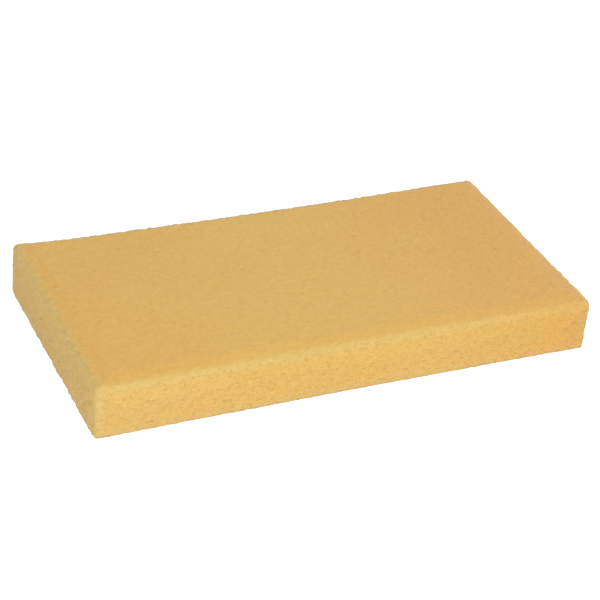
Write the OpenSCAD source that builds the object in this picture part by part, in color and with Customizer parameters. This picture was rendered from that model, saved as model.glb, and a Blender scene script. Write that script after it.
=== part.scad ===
/* [Block] */
// Length of the block, end to end
block_length = 280; // [200:1:340]
// Width of the block, front to back
block_width = 137.5; // [90:0.5:170]
// Thickness of the block
block_thick = 29.5; // [24:0.5:38]

/* [Cut faces] */
// Radius that the edges of the top have softened to
edge_round = 3.5; // [1.5:0.5:3.5]
// Radius of the sharper edges of the underside
base_round = 1; // [0.5:0.5:3.5]
// Radius of the four upright corners, seen from above
corner_round = 4; // [4:0.5:14]
// How far the back face draws in at its middle
back_hollow = 2.6; // [0:0.1:5]
// How much deeper the back's hollow is towards the left-hand end, as a share of itself
back_lean = 0.3; // [0:0.1:0.8]
// How far the front face draws in at its middle
front_hollow = 0.9; // [0:0.1:5]
// How far each end face draws in at its middle
end_hollow = 0.2; // [0:0.1:3]

/* [Open cells] */
// Distance between the larger open cells on the top and the underside
broad_pitch = 12; // [10.5:0.5:30]
// Distance between the larger open cells on the four cut sides
side_pitch = 7.5; // [6.5:0.5:13]
// Widest mouth of an open cell
widest_mouth = 2.6; // [2:0.1:4]
// Narrowest mouth of an open cell
narrowest_mouth = 1.4; // [0.8:0.1:2]
// Depth of the deepest open cell
deepest_cell = 2.2; // [1:0.1:5]
// One cell in this many has torn through into a neighbour
torn_every = 5; // [2:1:20]
// Seed of the scatter of the cells
scatter_seed = 11; // [1:1:99]

/* [Hidden] */

foam_colour = [0.90, 0.72, 0.42];

// Steps round the softened edge, round an upright corner, and along a long and a short side
edge_steps = 4;
corner_steps = 5;
long_steps = 12;
short_steps = 6;

// Sides of a cell's mouth, and how far above its face the cut for it starts
mouth_sides = 5;
mouth_lift = 0.3;
// A small cell is this share of the deepest one's depth
shallow_share = 0.6;
// A torn cell's neighbour: its width and depth against the cell's own, and how far off it lies
torn_width = 0.8;
torn_depth = 0.7;
torn_offset = 0.6;
// A cell keeps this share of its place in the grid clear on each side
clear_share = 0.2;

// How far a hollow side has drawn in at t, which runs from -1 at one end to 1 at the other
function drawn_in(hollow, t, lean = 0) = hollow * (1 - t * t) * (1 + lean * t);

// Corner centres, anticlockwise from the back right, and the hollow and lean of the side after each
corner_x = block_length / 2 - corner_round;
corner_y = block_width / 2 - corner_round;
corners = [[corner_x, corner_y], [-corner_x, corner_y], [-corner_x, -corner_y], [corner_x, -corner_y]];
side_hollows = [back_hollow, end_hollow, front_hollow, end_hollow];
side_leans = [back_lean, 0, 0, 0];

// One rounded corner of the outline, where bend is what inset leaves of its radius
function corner_arc(k, bend, z) = [
    for (i = [0 : corner_steps])
        let (turn = 90 * (k + i / corner_steps))
        [corners[k].x + bend * cos(turn), corners[k].y + bend * sin(turn), z]
];

// The hollow side between corner k and the next
function hollow_side(k, bend, z) =
    let (steps = k % 2 == 0 ? long_steps : short_steps,
         outward = [cos(90 * (k + 1)), sin(90 * (k + 1))],
         run = corners[(k + 1) % 4] - corners[k])
    [
        for (i = [1 : steps - 1])
            let (off = bend - drawn_in(side_hollows[k], 2 * i / steps - 1, side_leans[k]),
                 p = corners[k] + run * i / steps + outward * off)
            [p.x, p.y, z]
    ];

// The outline of the block at height z, drawn in all round by inset
function outline(inset, z) =
    let (bend = corner_round - inset)
    [for (k = [0 : 3]) each concat(corner_arc(k, bend, z), hollow_side(k, bend, z))];

// Inset and rise of each outline round a softened edge, from the flat face to the wall
function quarter_round(bend) = [
    for (i = [0 : edge_steps])
        let (turn = 90 * i / edge_steps)
        bend * [1 - sin(turn), 1 - cos(turn)]
];

// Inset and height of each outline, from the underside up: a quarter round, the wall, a quarter round
lower_edge = quarter_round(base_round);
upper_edge = quarter_round(edge_round);
upper_levels = [for (i = [edge_steps : -1 : 0]) [upper_edge[i].x, block_thick - upper_edge[i].y]];
levels = concat(lower_edge, upper_levels);

// The block with its softened edges and hollow sides, lofted through the outlines
module block() {
    rings = [for (level = levels) outline(level.x, level.y)];
    around = len(rings[0]);
    top = around * (len(rings) - 1);
    underside_face = [for (i = [0 : around - 1]) i];
    top_face = [for (i = [around - 1 : -1 : 0]) top + i];
    walls = [
        for (ring = [0 : len(rings) - 2], i = [0 : around - 1])
            let (low = ring * around, high = low + around, next = (i + 1) % around)
            [low + i, high + i, high + next, low + next]
    ];
    polyhedron([for (ring = rings) each ring], concat([underside_face], walls, [top_face]), convexity = 4);
}

// One open cell, with its mouth on z = 0 and its floor a point below
module cell(mouth, depth) {
    translate([0, 0, -depth])
        cylinder(h = depth + mouth_lift, d1 = 0, d2 = mouth * (1 + mouth_lift / depth), $fn = mouth_sides);
}

// Two cells with the wall between them torn away
module torn_cell(mouth, depth) {
    hull() {
        cell(mouth, depth);
        translate([mouth * torn_offset, 0, 0]) cell(mouth * torn_width, depth * torn_depth);
    }
}

// Cells scattered over a rectangle on z = 0; a hollow face sinks along x, with its ends at half_run
module scatter(area, pitch, face_seed, hollow, half_run, lean = 0) {
    columns = floor(area.x / pitch);
    rows = floor(area.y / pitch);
    place = [area.x / columns, area.y / rows];
    spread = 1 - 2 * clear_share;
    for (i = [0 : columns - 1], j = [0 : rows - 1]) {
        draw = rands(0, 1, 4, scatter_seed * 10000 + face_seed * 1000 + i * rows + j);
        x = (i + clear_share + spread * draw[0] - columns / 2) * place.x;
        y = (j + clear_share + spread * draw[1] - rows / 2) * place.y;
        mouth = narrowest_mouth + (widest_mouth - narrowest_mouth) * draw[2];
        depth = deepest_cell * (shallow_share + (1 - shallow_share) * draw[2]);
        translate([x, y, -drawn_in(hollow, x / half_run, lean)]) rotate(360 * draw[3])
            if ((i * rows + j) % torn_every == 0) torn_cell(mouth, depth);
            else cell(mouth, depth);
    }
}

module foam_block() {
    wall_middle = (base_round + block_thick - edge_round) / 2;
    // The cells stop short of the softened edges and of the hollow sides
    run_x = 2 * corner_x - widest_mouth;
    run_y = 2 * corner_y - widest_mouth;
    run_z = block_thick - edge_round - base_round - widest_mouth;
    broad_area = [run_x, run_y - 2 * max(back_hollow * (1 + back_lean), front_hollow)];
    color(foam_colour) difference() {
        block();
        translate([0, 0, block_thick]) scatter(broad_area, broad_pitch, 1, 0, corner_x);
        mirror([0, 0, 1]) scatter(broad_area, broad_pitch, 2, 0, corner_x);
        translate([0, -block_width / 2, wall_middle]) rotate([90, 0, 0])
            scatter([run_x, run_z], side_pitch, 3, front_hollow, corner_x);
        translate([0, block_width / 2, wall_middle]) rotate([-90, 0, 0])
            scatter([run_x, run_z], side_pitch, 4, back_hollow, corner_x, -back_lean);
        for (end = [0, 1])
            rotate(180 * end) translate([block_length / 2, 0, wall_middle]) rotate([90, 0, 90])
                scatter([run_y, run_z], side_pitch, 5 + end, end_hollow, corner_y);
    }
}

foam_block();
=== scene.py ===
"""A block of open-cell cleaning foam, modelled cell by cell and lit for a plain studio picture."""

import math
import random

import bmesh
import bpy
from bpy.props import FloatProperty, FloatVectorProperty, IntProperty, PointerProperty
from mathutils import Matrix, Vector, noise


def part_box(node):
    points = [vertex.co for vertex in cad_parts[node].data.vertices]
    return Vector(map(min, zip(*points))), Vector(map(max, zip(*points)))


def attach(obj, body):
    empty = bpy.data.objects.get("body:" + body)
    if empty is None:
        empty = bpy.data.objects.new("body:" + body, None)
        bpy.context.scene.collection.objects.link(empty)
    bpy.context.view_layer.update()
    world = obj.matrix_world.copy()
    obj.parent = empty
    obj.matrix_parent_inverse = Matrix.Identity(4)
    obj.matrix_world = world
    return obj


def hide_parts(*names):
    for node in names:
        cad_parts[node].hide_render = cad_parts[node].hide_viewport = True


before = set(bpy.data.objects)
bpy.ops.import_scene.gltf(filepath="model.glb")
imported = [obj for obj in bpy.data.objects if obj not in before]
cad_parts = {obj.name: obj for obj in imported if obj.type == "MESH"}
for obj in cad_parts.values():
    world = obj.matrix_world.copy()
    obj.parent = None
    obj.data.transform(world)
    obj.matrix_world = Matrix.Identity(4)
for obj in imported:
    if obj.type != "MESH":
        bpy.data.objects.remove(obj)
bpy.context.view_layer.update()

bl_info = {
    "name": "Foam Sponge",
    "version": (1, 0, 0),
    "blender": (4, 5, 0),
    "location": "View3D > Sidebar > Sponge",
    "description": "Models a block of open-cell cleaning foam and lays out a studio for it",
    "category": "Add Mesh",
}

LOW, HIGH = (Vector(corner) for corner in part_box("foam_block"))
SIZE = HIGH - LOW
MIDDLE = (LOW + HIGH) / 2
MM = 0.001
WHITE = (1.0, 1.0, 1.0)


class FoamShape(bpy.types.PropertyGroup):
    """Sizes of the block and of the cells in its faces."""

    edge_round: FloatProperty(
        name="Edge Softening",
        description="Radius that the edges of the top have softened to",
        default=3.5 * MM, min=1.0 * MM, max=3.9 * MM, unit="LENGTH",
    )
    base_round: FloatProperty(
        name="Base Edges",
        description="Radius of the sharper edges of the underside",
        default=1.0 * MM, min=0.5 * MM, max=3.9 * MM, unit="LENGTH",
    )
    corner_round: FloatProperty(
        name="Upright Corners",
        description="Radius of the four upright corners at the top, seen from above",
        default=4.2 * MM, min=4.0 * MM, max=14.0 * MM, unit="LENGTH",
    )
    corner_taper: FloatProperty(
        name="Corner Taper",
        description="How much of that radius the upright corners lose over the height of the block",
        default=0.55, min=0.0, max=0.7, subtype="FACTOR",
    )
    crisp: FloatProperty(
        name="Crisp Corner",
        description="How much of its roundness the corner at the back left has lost",
        default=0.3, min=0.0, max=0.7, subtype="FACTOR",
    )
    back_hollow: FloatProperty(
        name="Back Hollow",
        description="How far the back face draws in at its middle",
        default=2.6 * MM, min=0.0, max=5.0 * MM, unit="LENGTH",
    )
    back_lean: FloatProperty(
        name="Back Lean",
        description="How much deeper the back's hollow is towards the left-hand end, as a share of itself",
        default=0.3, min=0.0, max=0.8, subtype="FACTOR",
    )
    front_hollow: FloatProperty(
        name="Front Hollow",
        description="How far the front face draws in at its middle",
        default=0.9 * MM, min=0.0, max=5.0 * MM, unit="LENGTH",
    )
    end_hollow: FloatProperty(
        name="End Hollow",
        description="How far each end face draws in at its middle",
        default=0.0, min=0.0, max=3.0 * MM, unit="LENGTH",
    )
    spacing: FloatProperty(
        name="Cell Spacing",
        description="Width of the smallest cells",
        default=1.42 * MM, min=1.4 * MM, max=6.0 * MM, unit="LENGTH",
    )
    flatness: FloatProperty(
        name="Flat Cells",
        description="Height of the smallest cells of the sides as a share of their width",
        default=0.67, min=0.65, max=1.0, subtype="FACTOR",
    )
    stray: FloatProperty(
        name="Stray",
        description="How far the corner of a cell may stray, as a share of the spacing",
        default=0.42, min=0.0, max=0.5, subtype="FACTOR",
    )
    joined_share: FloatProperty(
        name="Joined Cells",
        description="Share of the small cells that are joined to a neighbour where one is free",
        default=0.85, min=0.0, max=1.0, subtype="FACTOR",
    )
    depth: FloatProperty(
        name="Cell Depth",
        description="Depth of an ordinary cell as a share of its half width",
        default=0.38, min=0.0, max=1.2, subtype="FACTOR",
    )
    closed: FloatProperty(
        name="Closed Faces",
        description="How much shallower the cells of the top and the underside are than those of the sides",
        default=0.4, min=0.0, max=0.9, subtype="FACTOR",
    )
    fuzz: FloatProperty(
        name="Fuzz",
        description="How far the highest walls between the cells stand up",
        default=0.4 * MM, min=0.0, max=1.2 * MM, unit="LENGTH",
    )
    lumps: FloatProperty(
        name="Lumps",
        description="Height of the lumps along the worn edges",
        default=0.5 * MM, min=0.0, max=1.2 * MM, unit="LENGTH",
    )
    wave: FloatProperty(
        name="Wave",
        description="Height of the slow waves that the cutting leaves in the faces",
        default=0.25 * MM, min=0.0, max=1.5 * MM, unit="LENGTH",
    )
    seed: IntProperty(
        name="Seed",
        description="Seed of everything that is drawn at random",
        default=7, min=0,
    )


class FoamFinish(bpy.types.PropertyGroup):
    """Colours and surface of the foam."""

    foam: FloatVectorProperty(
        name="Foam",
        description="Colour of the cell walls on the sides",
        default=(0.833, 0.526, 0.160), size=3, min=0.0, max=1.0, subtype="COLOR",
    )
    golden: FloatVectorProperty(
        name="Golden",
        description="Colour of the yellower patches in the faces",
        default=(0.83, 0.510, 0.124), size=3, min=0.0, max=1.0, subtype="COLOR",
    )
    # Painted shade: a darker, more saturated copy of the sides' colour, which stands in for part of the
    # shade on the top and the underside.
    shaded_broad: FloatVectorProperty(
        name="Broad Faces",
        description="Colour of the cell walls on the top and the underside",
        default=(0.83, 0.477, 0.112), size=3, min=0.0, max=1.0, subtype="COLOR",
    )
    amber: FloatVectorProperty(
        name="Amber",
        description="Colour that the faces drift to at the right-hand end",
        default=(0.81, 0.440, 0.10), size=3, min=0.0, max=1.0, subtype="COLOR",
    )
    # Painted light: the paler, lighter colour along the edges is a painted highlight for the light that the
    # foam scatters there, not wear; the two shares below set how much of it each end takes.
    painted_edge_light: FloatVectorProperty(
        name="Pale Edge",
        description="Colour of the worn band along the edges",
        default=(0.767, 0.550, 0.20), size=3, min=0.0, max=1.0, subtype="COLOR",
    )
    # Painted shade: this darker, more orange colour is painted into the cells by their depth and into the
    # pores, and the mottle takes it too.
    pit: FloatVectorProperty(
        name="Pit",
        description="Darker colour of the open cells, the mottle and the specks",
        default=(0.60, 0.345, 0.068), size=3, min=0.0, max=1.0, subtype="COLOR",
    )
    golden_share: FloatProperty(
        name="Golden Share",
        description="How much of their own colour the yellower patches have",
        default=0.7, min=0.0, max=1.0, subtype="FACTOR",
    )
    amber_share: FloatProperty(
        name="Amber Share",
        description="How much of the amber the right-hand end has",
        default=0.8, min=0.0, max=1.0, subtype="FACTOR",
    )
    painted_edge_light_share: FloatProperty(
        name="Pale Share",
        description="How much of the pale colour the edges have at the left-hand end",
        default=0.8, min=0.0, max=1.0, subtype="FACTOR",
    )
    painted_edge_light_loss: FloatProperty(
        name="Pale Loss",
        description="How much less of the pale colour the edges have at the right-hand end",
        default=0.4, min=0.0, max=0.8, subtype="FACTOR",
    )
    pit_shade_share: FloatProperty(
        name="Pit Share",
        description="How strongly the depth of a cell brings out the pit's colour",
        default=0.25, min=0.0, max=1.0, subtype="FACTOR",
    )
    mottle_share: FloatProperty(
        name="Mottle Share",
        description="How much of the pit's colour the mottle has",
        default=0.17, min=0.0, max=1.0, subtype="FACTOR",
    )
    # Painted shade: how dark the pores too fine for the mesh are painted.
    pore_shade_share: FloatProperty(
        name="Speck Share",
        description="How much of the pit's colour the specks have",
        default=0.45, min=0.0, max=1.0, subtype="FACTOR",
    )
    grain: FloatProperty(
        name="Grain",
        description="Height of the grain that is finer than the cells",
        default=0.09 * MM, min=0.0, max=0.5 * MM, unit="LENGTH",
    )
    band: FloatProperty(
        name="Band Width",
        description="Width of the pale band along the edges",
        default=6.5 * MM, min=1.0 * MM, max=15.0 * MM, unit="LENGTH",
    )
    shoulder: FloatProperty(
        name="Shoulder Width",
        description="How far in from an edge of the top, front or ends the faces start to roll off",
        default=13.0 * MM, min=2.0 * MM, max=30.0 * MM, unit="LENGTH",
    )
    shoulder_drop: FloatProperty(
        name="Shoulder Drop",
        description="How far the faces have rolled off where the edge begins",
        default=1.3 * MM, min=0.0, max=3.0 * MM, unit="LENGTH",
    )
    roughness: FloatProperty(
        name="Roughness",
        description="Roughness of the cell walls",
        default=0.85, min=0.0, max=1.0, subtype="FACTOR",
    )
    sheen: FloatProperty(
        name="Sheen",
        description="Pale sheen of the foam where it is seen at a flat angle",
        default=0.22, min=0.0, max=1.0, subtype="FACTOR",
    )


class Studio(bpy.types.PropertyGroup):
    """Where the camera stands, and the light."""

    azimuth: FloatProperty(
        name="Azimuth",
        description="Direction that the camera looks from, turned from the front towards the right-hand end",
        default=math.radians(-28.10), subtype="ANGLE",
    )
    elevation: FloatProperty(
        name="Elevation",
        description="Height of the camera above the horizon",
        default=math.radians(33.13), subtype="ANGLE",
    )
    roll: FloatProperty(
        name="Roll",
        description="Turn of the camera about its own line of sight",
        default=math.radians(6.87), subtype="ANGLE",
    )
    distance: FloatProperty(
        name="Distance",
        description="Distance from the camera to the middle of the block",
        default=0.9805, min=0.3, unit="LENGTH",
    )
    aside: FloatVectorProperty(
        name="Aside",
        description="How far right of and above the line of sight the middle of the block lies",
        default=(0.53 * MM, 2.06 * MM), size=2, unit="LENGTH",
    )
    lens: FloatProperty(
        name="Lens",
        description="Focal length in millimetres on a 36 mm frame",
        default=109.22, min=20.0, max=300.0,
    )
    key: FloatProperty(
        name="Key Light",
        description="Power of the light left of the front, in watts",
        default=18.5, min=0.0,
    )
    second: FloatProperty(
        name="Second Light",
        description="Power of the light right of the front, in watts",
        default=7.1, min=0.0,
    )
    side: FloatProperty(
        name="Side Light",
        description="Power of the light at the left-hand end, in watts",
        default=8.8, min=0.0,
    )
    rim: FloatProperty(
        name="Rim Light",
        description="Power of the light at the right-hand end, in watts",
        default=13.6, min=0.0,
    )
    fill: FloatProperty(
        name="Fill",
        description="Strength of the even light from all round",
        default=0.275, min=0.0,
    )


class Value:
    """A number on its way through a shader: arithmetic on it adds Math nodes."""

    def __init__(self, sheet, socket):
        self.sheet = sheet
        self.socket = socket

    def apply(self, operation, *others):
        """Adds a Math node that works on this value and the others, in that order."""
        return self.sheet.node("ShaderNodeMath", {"operation": operation}, dict(enumerate((self, *others))))

    def __add__(self, other):
        return self.apply("ADD", other)

    def __sub__(self, other):
        return self.apply("SUBTRACT", other)

    def __rsub__(self, other):
        return self.sheet.node("ShaderNodeMath", {"operation": "SUBTRACT"}, {0: other, 1: self})

    def __mul__(self, other):
        return self.apply("MULTIPLY", other)

    __radd__ = __add__
    __rmul__ = __mul__

    def least(self, other):
        return self.apply("MINIMUM", other)

    def most(self, other):
        return self.apply("MAXIMUM", other)

    def size(self):
        return self.apply("ABSOLUTE")


class Sheet:
    """The node tree of a material or world, emptied and ready to be filled."""

    def __init__(self, owner):
        owner.use_nodes = True
        self.tree = owner.node_tree
        self.tree.nodes.clear()

    def node(self, kind, settings=None, sockets=None, out=0):
        """Adds a node, sets it up, feeds its sockets, and gives one of its outputs."""
        made = self.tree.nodes.new(kind)
        for name, setting in (settings or {}).items():
            setattr(made, name, setting)
        for key, given in (sockets or {}).items():
            if isinstance(given, Value):
                self.tree.links.new(given.socket, made.inputs[key])
            else:
                made.inputs[key].default_value = given
        return Value(self, made.outputs[out]) if len(made.outputs) else None

    def mix(self, share, first, second):
        """A colour between two others. The node's sockets share their names, so they go by number."""
        settings = {"data_type": "RGBA", "blend_type": "MIX"}
        colours = [given if isinstance(given, Value) else (*given, 1.0) for given in (first, second)]
        return self.node("ShaderNodeMix", settings, {0: share, 6: colours[0], 7: colours[1]}, out=2)

    def ramp(self, value, start, end):
        """0 up to start, 1 from end on, and a smooth rise between them."""
        settings = {"interpolation_type": "SMOOTHSTEP"}
        return self.node("ShaderNodeMapRange", settings, {0: value, 1: start, 2: end})


def second_least(values):
    """The middle one of three values: of the gaps to three sides, it is the gap to the nearest edge."""
    first, second, third = values
    return first.least(second).most(first.most(second).least(third))


def clouds(sheet, where, per_metre, detail=1.0):
    """Soft noise from 0 to 1."""
    sockets = {"Vector": where, "Scale": per_metre, "Detail": detail, "Roughness": 0.5}
    return sheet.node("ShaderNodeTexNoise", None, sockets)


class Spot:
    """Where a point of the block lies, as values for its material."""

    def __init__(self, sheet):
        broad_reach = 3.0 * MM
        end_reach = 5.0 * MM
        # The axes run from the middle of the block, and inside is how far it is to the sides of its box
        self.place = sheet.node("ShaderNodeTexCoord", out="Object")
        centred = sheet.node("ShaderNodeVectorMath", {"operation": "SUBTRACT"}, {0: self.place, 1: MIDDLE})
        self.axes = [sheet.node("ShaderNodeSeparateXYZ", None, {0: centred}, out=axis) for axis in range(3)]
        self.inside = [half - axis.size() for half, axis in zip(SIZE / 2, self.axes)]
        self.on_broad = 1.0 - sheet.ramp(self.inside[2], 0.0, broad_reach)
        self.on_end = 1.0 - sheet.ramp(self.inside[0], 0.0, end_reach)


def wall_colour(sheet, spot, finish):
    """Colour of the cell walls: amber to the right, yellower in patches, darker on the top and underside as
    painted shade, and a paler painted highlight along the edges.
    """
    amber_start = 20.0 * MM
    patches_at = -20.0 * MM
    patches_per_metre = 28.0
    patch_strength = 0.4
    patch_stops = (-0.1, 0.3)
    fading_per_metre = 2.2
    # Painted shade: the top and the underside take a darker, more saturated copy of the sides' colour.
    plain = sheet.mix(spot.on_broad, finish.foam, finish.shaded_broad)
    drift = sheet.ramp(spot.axes[0], amber_start, SIZE.x / 2)
    drifted = sheet.mix(drift * finish.amber_share, plain, finish.amber)
    fading = (spot.axes[0] - patches_at).size() * fading_per_metre
    patchy = clouds(sheet, spot.place, patches_per_metre) * patch_strength - fading
    patches = sheet.ramp(patchy, *patch_stops)
    body = sheet.mix(patches * finish.golden_share, drifted, finish.golden)
    # Painted highlight: the edges take a paler, lighter colour for the light that the foam scatters there,
    # less of it towards the right-hand end.
    band = 1.0 - sheet.ramp(second_least(spot.inside), 0.0, finish.band)
    return sheet.mix(band * (finish.painted_edge_light_share - drift * finish.painted_edge_light_loss), body, finish.painted_edge_light)


def fine_grain(sheet, spot):
    """Specks of painted shade for the pores, soft mottle and uneven height, all wider than they are high."""
    stretch = (0.65, 0.65, 1.5)
    specks_per_metre = 620.0
    speck_stops = (0.1, 0.4)
    groups_per_metre = 500.0
    group_stops = (0.3, 0.6)
    mottle_per_metre = 560.0
    mottle_stops = (0.3, 0.7)
    bumps_per_metre = 850.0
    fainter_on_broad = 0.85
    fainter_on_end = 0.6
    flat = sheet.node("ShaderNodeVectorMath", {"operation": "MULTIPLY"}, {0: spot.place, 1: stretch})
    from_dots = sheet.node("ShaderNodeTexVoronoi", None, {"Vector": flat, "Scale": specks_per_metre})
    groups = sheet.ramp(clouds(sheet, spot.place, groups_per_metre), *group_stops)
    # Painted shade: dark dots for the shade in pores too fine for the mesh, which the bump presses in as
    # well.
    shaded_pores = (1.0 - sheet.ramp(from_dots, *speck_stops)) * groups
    shaded_pores = shaded_pores * (1.0 - spot.on_broad * fainter_on_broad) * (1.0 - spot.on_end * fainter_on_end)
    mottle = sheet.ramp(clouds(sheet, flat, mottle_per_metre, detail=2.0), *mottle_stops)
    uneven = clouds(sheet, flat, bumps_per_metre, detail=2.0)
    return shaded_pores, mottle, uneven


def worn_roll_off(sheet, spot, finish):
    """1 at the edges of the top, the front and the ends, 0 where the faces are flat."""
    edge_start = 1.0 * MM
    from_front = SIZE.y / 2 + spot.axes[1]
    from_top = SIZE.z / 2 - spot.axes[2]
    to_worn_edge = second_least([spot.inside[0], from_front, from_top])
    return 1.0 - sheet.ramp(to_worn_edge, edge_start, finish.shoulder)


def foam_material(finish):
    """Matte foam: cell walls over darker pits and pores that carry painted shade, faint patches, and a paler
    painted highlight along the edges.
    """
    mottle_depth = 0.3
    roughness_spread = 0.1
    rough_per_metre = 400.0
    material = bpy.data.materials.new("foam")
    sheet = Sheet(material)
    spot = Spot(sheet)
    pit = sheet.node("ShaderNodeAttribute", {"attribute_name": "pit"}, out="Fac")
    shaded_pores, mottle, uneven = fine_grain(sheet, spot)
    # Painted shade: deeper cells, the pores and the mottle take the darker, more orange colour.
    shade = pit * finish.pit_shade_share + mottle * finish.mottle_share + shaded_pores * finish.pore_shade_share
    colour = sheet.mix(shade.least(1.0), wall_colour(sheet, spot, finish), finish.pit)
    grain = (uneven - shaded_pores - mottle * mottle_depth) * finish.grain
    height = grain - worn_roll_off(sheet, spot, finish) * finish.shoulder_drop
    bump = sheet.node("ShaderNodeBump", None, {"Strength": 1.0, "Distance": 1.0, "Height": height})
    shader = sheet.node("ShaderNodeBsdfPrincipled", None, {
        "Base Color": colour,
        "Roughness": finish.roughness + roughness_spread * clouds(sheet, spot.place, rough_per_metre),
        "Normal": bump,
        "Specular IOR Level": 0.15,
        "Sheen Weight": finish.sheen,
        "Sheen Roughness": 0.6,
    })
    sheet.node("ShaderNodeOutputMaterial", None, {0: shader})
    return material


def clamp(value, low, high):
    return min(max(value, low), high)


def tiled_box(shape):
    """A closed box of the block's size with its six sides tiled in small squares or flat oblongs."""
    mesh = bmesh.new()
    weld = shape.spacing / 10
    spacings = (shape.spacing, shape.spacing, shape.spacing * shape.flatness)
    counts = [round(side / spacing) for side, spacing in zip(SIZE, spacings)]
    for axis in range(3):
        across, up = (axis + 1) % 3, (axis + 2) % 3
        for side in (-1, 1):
            columns = [Vector(), Vector(), Vector()]
            columns[0][across] = SIZE[across] / 2
            columns[1][up] = SIZE[up] / 2
            columns[2][axis] = side
            lie = Matrix(columns).transposed().to_4x4()
            lie.translation = MIDDLE + columns[2] * SIZE[axis] / 2
            bmesh.ops.create_grid(
                mesh, x_segments=counts[across], y_segments=counts[up], size=1.0, matrix=lie
            )
    bmesh.ops.remove_doubles(mesh, verts=mesh.verts, dist=weld)
    bmesh.ops.recalc_face_normals(mesh, faces=mesh.faces)
    return mesh


def join_cells(mesh, share, draw):
    """Takes away the wall between neighbouring squares here and there, so that the cells differ."""
    # Two cells lie in one side of the block where the cosine between their normals is above this
    one_side = 0.99
    taken = set()
    walls = []
    faces = list(mesh.faces)
    draw.shuffle(faces)
    for face in faces:
        if face in taken or draw.random() > share:
            continue
        free = [
            edge for edge in face.edges
            if not taken.intersection(edge.link_faces)
            and edge.link_faces[0].normal.dot(edge.link_faces[1].normal) > one_side
        ]
        if free:
            wall = draw.choice(free)
            walls.append(wall)
            taken.update(wall.link_faces)
    bmesh.ops.dissolve_edges(mesh, edges=walls, use_verts=False)


def roundness(point, shape):
    """Share of its roundness that the block keeps at a point: all of it, but for the crisp corner."""
    crisp_reach = 20 * MM
    from_crisp_edge = max(point.x - LOW.x, HIGH.y - point.y)
    return 1 - shape.crisp * (1 - clamp(from_crisp_edge / crisp_reach, 0, 1))


def on_block(point, shape):
    """A point's place on the block with its edges and corners rounded, before its sides draw in."""
    kept = roundness(point, shape)
    below_top = clamp((HIGH.z - shape.edge_round - point.z) / SIZE.z, 0, 1)
    corner = shape.corner_round * min(1 - shape.corner_taper * below_top, kept)
    softened = shape.edge_round * kept if point.z > MIDDLE.z else shape.base_round
    soft = min(softened, corner)
    bend = corner - soft
    reach = SIZE / 2 - Vector((corner,) * 3)
    core = Vector((clamp(point.x, -reach.x, reach.x), clamp(point.y, -reach.y, reach.y)))
    out = point.xy - core
    heart = core + out.normalized() * bend if out.length > bend else point.xy
    heart = Vector((*heart, clamp(point.z, LOW.z + soft, HIGH.z - soft)))
    return heart + (point - heart).normalized() * soft


def drawn_in(point, shape):
    """Draws the sides in towards the middle, as the block's cut sides do."""
    reach = SIZE / 2 - Vector((shape.corner_round,) * 3)
    along = clamp(point.x / reach.x, -1, 1)
    across = clamp(point.y / reach.y, -1, 1)
    if point.y > 0:
        side_hollow = shape.back_hollow * (1 - shape.back_lean * along)
    else:
        side_hollow = shape.front_hollow
    moved = point.copy()
    moved.y -= side_hollow * (1 - along ** 2) * point.y / (SIZE.y / 2)
    moved.x -= shape.end_hollow * (1 - across ** 2) * point.x / (SIZE.x / 2)
    return moved


def scatter_corners(mesh, shape, draw):
    """Strays the corners of the cells, relaxes them, and lays them back on the rounded block."""
    stray = shape.stray * shape.spacing
    for vert in mesh.verts:
        vert.co += Vector([draw.uniform(-stray, stray) for _ in range(3)])
    bmesh.ops.smooth_vert(
        mesh, verts=mesh.verts, factor=0.4, use_axis_x=True, use_axis_y=True, use_axis_z=True
    )
    for vert in mesh.verts:
        vert.co = on_block(vert.co, shape)


def nearness_to_edge(point, reach):
    """1 on an edge of the block, 0 from reach on."""
    insides = sorted(SIZE[axis] / 2 - abs(point[axis] - MIDDLE[axis]) for axis in range(3))
    return 1 - clamp(insides[1] / reach, 0, 1)


def ripple(mesh, shape, draw):
    """Draws the sides in and gives the faces their slow waves and the cell walls their fuzz."""
    mesh.normal_update()
    wave_pitch = 55 * MM
    lump_pitch = 3 * MM
    lump_reach = 6 * MM
    # Up and down, nothing moves at the underside, so that it still lies on the floor
    still_reach = 3 * MM
    for vert in mesh.verts:
        height = shape.wave * noise.noise(vert.co / wave_pitch)
        height += shape.lumps * nearness_to_edge(vert.co, lump_reach) * noise.noise(vert.co / lump_pitch)
        push = vert.normal * (height + draw.uniform(0, shape.fuzz))
        push.z *= clamp((vert.co.z - LOW.z) / still_reach, 0, 1)
        vert.co = drawn_in(vert.co, shape) + push


def open_cells(mesh, shape, draw):
    """Pushes the middle of every cell in, deeper in some, and notes how deep, for the shade that the
    material paints into the cells.
    """
    depth_layer = mesh.verts.layers.float.new("pit")
    ordinary = (0.45, 1.0)
    deep = (1.0, 1.45)
    deep_share = 0.25
    deepest = 1.0 * MM
    # A cell with this share of the ordinary depth would take the full painted shade
    darkest = 1.6
    poked = bmesh.ops.poke(mesh, faces=mesh.faces, offset=0.0, center_mode="MEAN")
    mesh.normal_update()
    pushes = []
    for vert in poked["verts"]:
        half_width = sum(edge.calc_length() for edge in vert.link_edges) / len(vert.link_edges)
        open_share = 1 - shape.closed * abs(vert.normal.z)
        share = draw.uniform(*ordinary)
        if draw.random() < deep_share:
            share = draw.uniform(*deep)
        share *= open_share
        depth = min(half_width * shape.depth * share, deepest)
        pushes.append((vert, vert.normal * depth))
        vert[depth_layer] = clamp(share / darkest, 0, 1)
    for vert, push in pushes:
        vert.co -= push


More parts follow.
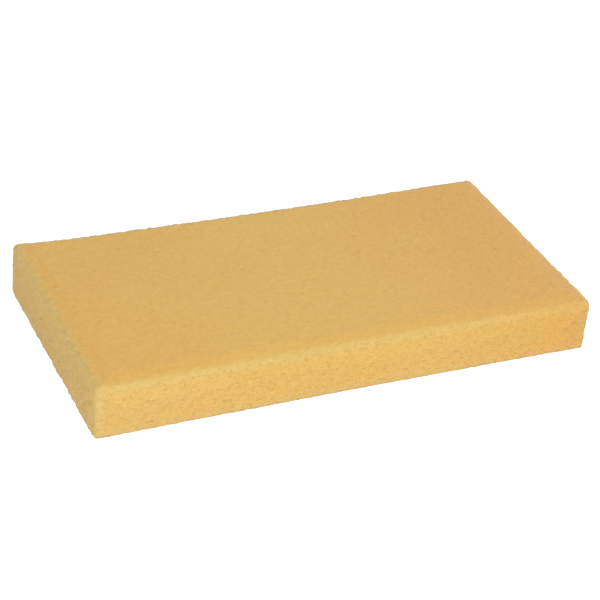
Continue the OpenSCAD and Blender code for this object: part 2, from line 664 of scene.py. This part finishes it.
class SPONGE_OT_add_block(bpy.types.Operator):
    """Add the foam block, with every cell in its faces"""

    bl_idname = "sponge.add_block"
    bl_label = "Add Foam Block"
    bl_options = {"REGISTER", "UNDO"}

    def execute(self, context):
        shape = context.scene.foam_shape
        draw = random.Random(shape.seed)
        mesh = tiled_box(shape)
        join_cells(mesh, shape.joined_share, draw)
        scatter_corners(mesh, shape, draw)
        ripple(mesh, shape, draw)
        open_cells(mesh, shape, draw)
        for face in mesh.faces:
            face.smooth = True
        data = bpy.data.meshes.new("foam_sponge")
        mesh.to_mesh(data)
        mesh.free()
        block = bpy.data.objects.new("foam_sponge", data)
        context.collection.objects.link(block)
        data.materials.append(foam_material(context.scene.foam_finish))
        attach(block, "root")
        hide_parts("foam_block")
        return {"FINISHED"}


def camera_matrix(studio):
    """The camera's place and turn, from the direction it looks from and its roll."""
    flat = math.cos(studio.elevation)
    back = Vector((
        math.sin(studio.azimuth) * flat,
        -math.cos(studio.azimuth) * flat,
        math.sin(studio.elevation),
    ))
    level = Vector((0, 0, 1)).cross(back).normalized()
    upright = back.cross(level)
    right = math.cos(studio.roll) * level + math.sin(studio.roll) * upright
    up = math.cos(studio.roll) * upright - math.sin(studio.roll) * level
    turn = Matrix((right, up, back)).transposed().to_4x4()
    turn.translation = MIDDLE - studio.aside[0] * right - studio.aside[1] * up + studio.distance * back
    return turn


def seen_directly(sheet):
    """1 where a ray comes straight from the camera, or by way of gloss or glass."""
    kinds = ("Is Camera Ray", "Is Glossy Ray", "Is Transmission Ray")
    rays = [sheet.node("ShaderNodeLightPath", out=kind) for kind in kinds]
    return rays[0].most(rays[1]).most(rays[2])


def area_light(context, name, place, width, power, colour):
    """Sets a square light at a place, turned to the middle of the block."""
    data = bpy.data.lights.new(name, "AREA")
    data.size = width
    data.energy = power
    data.color = colour
    lamp = bpy.data.objects.new(name, data)
    lamp.location = place
    lamp.rotation_euler = (MIDDLE - Vector(place)).to_track_quat("-Z", "Y").to_euler()
    context.collection.objects.link(lamp)


# Place, width and colour of each lamp, whose power is the studio's value of the same name
LAMPS = {
    "key": ((-0.6, -1.5, 1.2), 1.2, WHITE),
    "second": ((0.9, -1.4, 1.0), 1.2, WHITE),
    "side": ((-1.6, -0.6, 0.9), 1.2, (0.89, 1.0, 0.86)),
    "rim": ((1.6, 0.5, 1.0), 1.4, WHITE),
}


def lay_floor(context):
    """Lays white paper under the block, which looks white to the camera and still takes its shadow."""
    half_width = 6.0
    paper_white = (0.85, 0.85, 0.85)
    glow_strength = 1.22
    glow_share = 0.76
    data = bpy.data.meshes.new("floor")
    mesh = bmesh.new()
    bmesh.ops.create_grid(mesh, x_segments=1, y_segments=1, size=half_width)
    bmesh.ops.translate(mesh, verts=mesh.verts, vec=(0, 0, LOW.z))
    mesh.to_mesh(data)
    mesh.free()
    floor = bpy.data.objects.new("floor", data)
    context.collection.objects.link(floor)
    paper = bpy.data.materials.new("white_paper")
    sheet = Sheet(paper)
    matte = sheet.node("ShaderNodeBsdfDiffuse", None, {"Color": (*paper_white, 1.0)})
    glow = sheet.node("ShaderNodeEmission", None, {"Color": (*WHITE, 1.0), "Strength": glow_strength})
    share = seen_directly(sheet) * glow_share
    surface = sheet.node("ShaderNodeMixShader", None, {0: share, 1: matte, 2: glow})
    sheet.node("ShaderNodeOutputMaterial", None, {0: surface})
    data.materials.append(paper)


def light_all_round(scene, fill_strength):
    """Sets the even light from all round, and a white backdrop for the camera."""
    world = bpy.data.worlds.new("studio")
    scene.world = world
    sheet = Sheet(world)
    fill = sheet.node("ShaderNodeBackground", None, {0: (*WHITE, 1.0), 1: fill_strength})
    backdrop = sheet.node("ShaderNodeBackground", None, {0: (*WHITE, 1.0), 1: 1.0})
    surface = sheet.node("ShaderNodeMixShader", None, {0: seen_directly(sheet), 1: fill, 2: backdrop})
    sheet.node("ShaderNodeOutputWorld", None, {0: surface})


def set_camera(context, studio):
    """Sets the camera that the picture is taken with."""
    lens = bpy.data.cameras.new("camera")
    lens.lens = studio.lens
    lens.sensor_width = 36.0
    camera = bpy.data.objects.new("camera", lens)
    camera.matrix_world = camera_matrix(studio)
    context.collection.objects.link(camera)
    context.scene.camera = camera


class SPONGE_OT_lay_studio(bpy.types.Operator):
    """Lay the white floor and set the lights and the camera"""

    bl_idname = "sponge.lay_studio"
    bl_label = "Lay Studio"
    bl_options = {"REGISTER", "UNDO"}

    def execute(self, context):
        studio = context.scene.studio
        lay_floor(context)
        light_all_round(context.scene, studio.fill)
        for name, (place, width, colour) in LAMPS.items():
            area_light(context, name, place, width, getattr(studio, name), colour)
        set_camera(context, studio)
        context.scene.view_settings.view_transform = "Standard"
        return {"FINISHED"}


class SPONGE_PT_panel(bpy.types.Panel):
    """Sizes, finish and studio of the sponge"""

    bl_label = "Foam Sponge"
    bl_idname = "SPONGE_PT_panel"
    bl_space_type = "VIEW_3D"
    bl_region_type = "UI"
    bl_category = "Sponge"

    def draw(self, context):
        for group_name in GROUPS:
            group = getattr(context.scene, group_name)
            box = self.layout.box()
            for name in group.__annotations__:
                box.prop(group, name)
        self.layout.operator(SPONGE_OT_add_block.bl_idname)
        self.layout.operator(SPONGE_OT_lay_studio.bl_idname)


GROUPS = {"foam_shape": FoamShape, "foam_finish": FoamFinish, "studio": Studio}
CLASSES = (*GROUPS.values(), SPONGE_OT_add_block, SPONGE_OT_lay_studio, SPONGE_PT_panel)


def register():
    for cls in CLASSES:
        bpy.utils.register_class(cls)
    for name, group in GROUPS.items():
        setattr(bpy.types.Scene, name, PointerProperty(type=group))


def unregister():
    for name in GROUPS:
        delattr(bpy.types.Scene, name)
    for cls in reversed(CLASSES):
        bpy.utils.unregister_class(cls)


def main():
    register()
    bpy.ops.sponge.add_block()
    bpy.ops.sponge.lay_studio()


if __name__ == "__main__":
    main()
